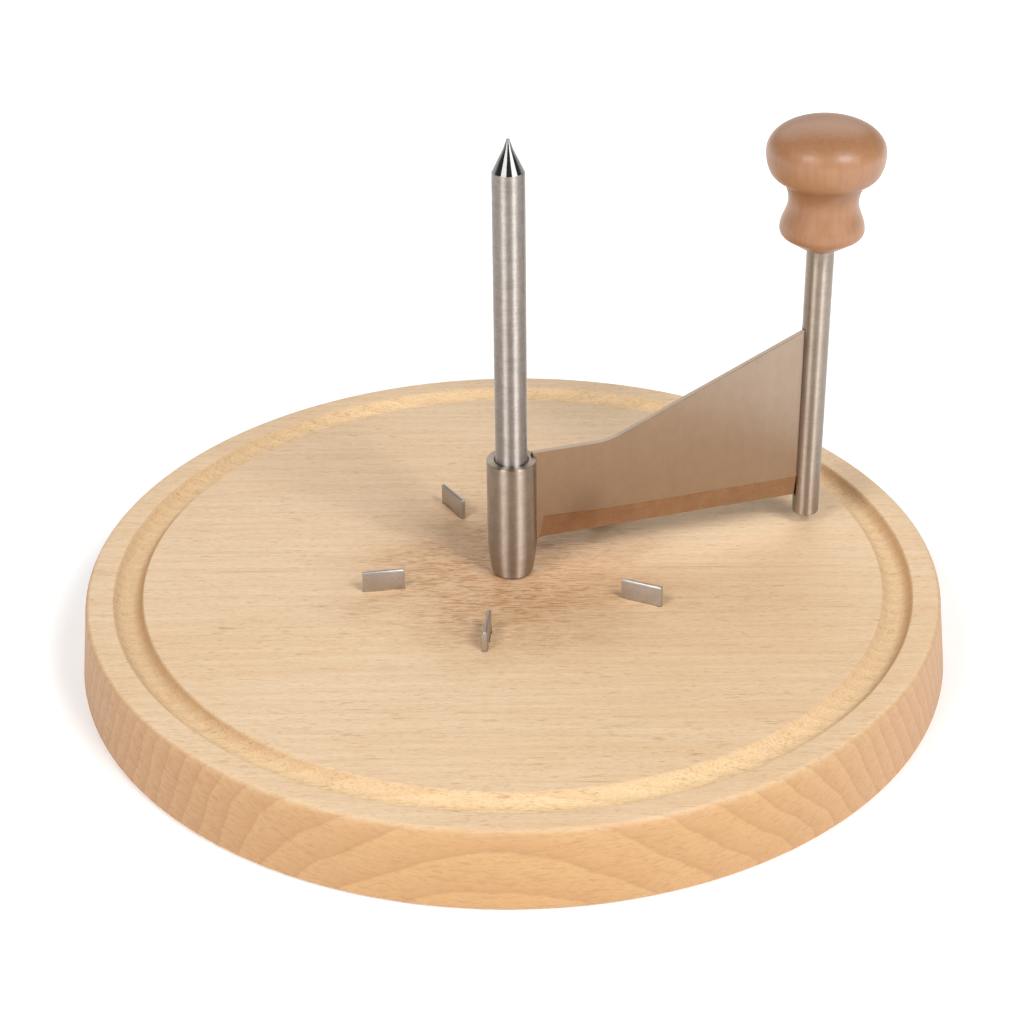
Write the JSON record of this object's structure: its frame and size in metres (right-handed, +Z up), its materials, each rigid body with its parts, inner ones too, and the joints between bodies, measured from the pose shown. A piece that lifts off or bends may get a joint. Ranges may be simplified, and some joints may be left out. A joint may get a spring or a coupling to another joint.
{
  "type": "rotary cheese scraper board",
  "caption": "Round grooved wooden board with an upright pointed spindle and a steel blade that a knob turns round it, to scrape curls off a cheese.",
  "frame": {"origin": "middle of the board's underside, on the spindle's axis", "axes": "+Z up along the spindle; the board's grain runs along X; at rest the blade points 17 degrees round from +X towards +Y"},
  "size_m": [0.224, 0.224, 0.1396],
  "materials": {
    "beech": "fine-sanded, lightly oiled",
    "knob_wood": "stained and lacquered",
    "spindle_steel": "turned stainless steel with a polished tip",
    "sleeve_steel": "satin stainless steel",
    "blade_steel": "satin sheet steel with a ground edge",
    "post_steel": "satin to bright stainless steel",
    "plate_steel": "rolled sheet steel, cut edges",
    "fastener_steel": "zinc-plated",
    "ring_steel": "phosphated spring steel",
    "bush_brass": "turned"
  },
  "bodies": {
    "base": {"board": "beech", "holding_plate_1": "plate_steel", "holding_plate_2": "plate_steel", "holding_plate_3": "plate_steel", "holding_plate_4": "plate_steel", "holding_plate_5": "plate_steel", "spindle_washer": "fastener_steel", "spindle_nut": "fastener_steel"},
    "spindle": {"spindle": "spindle_steel"},
    "scraper": {"sleeve": "sleeve_steel", "blade": "blade_steel", "post": "post_steel", "retaining_ring": "ring_steel"},
    "knob": {"knob": "knob_wood", "knob_bush": "bush_brass"}
  },
  "joints": [
    {"name": "turn", "type": "hinge", "parent": "base", "child": "spindle", "pos_m": [0, 0, 0.03], "axis": [0, 0, 1], "continuous": true},
    {"name": "lift", "type": "slide", "parent": "spindle", "child": "scraper", "axis": [0, 0, 1], "range_m": [0, 0.125]},
    {"name": "knob_spin", "type": "hinge", "parent": "scraper", "child": "knob", "pos_m": [0.07842, 0.02397, 0.11], "axis": [0, 0, 1], "continuous": true}
  ]
}
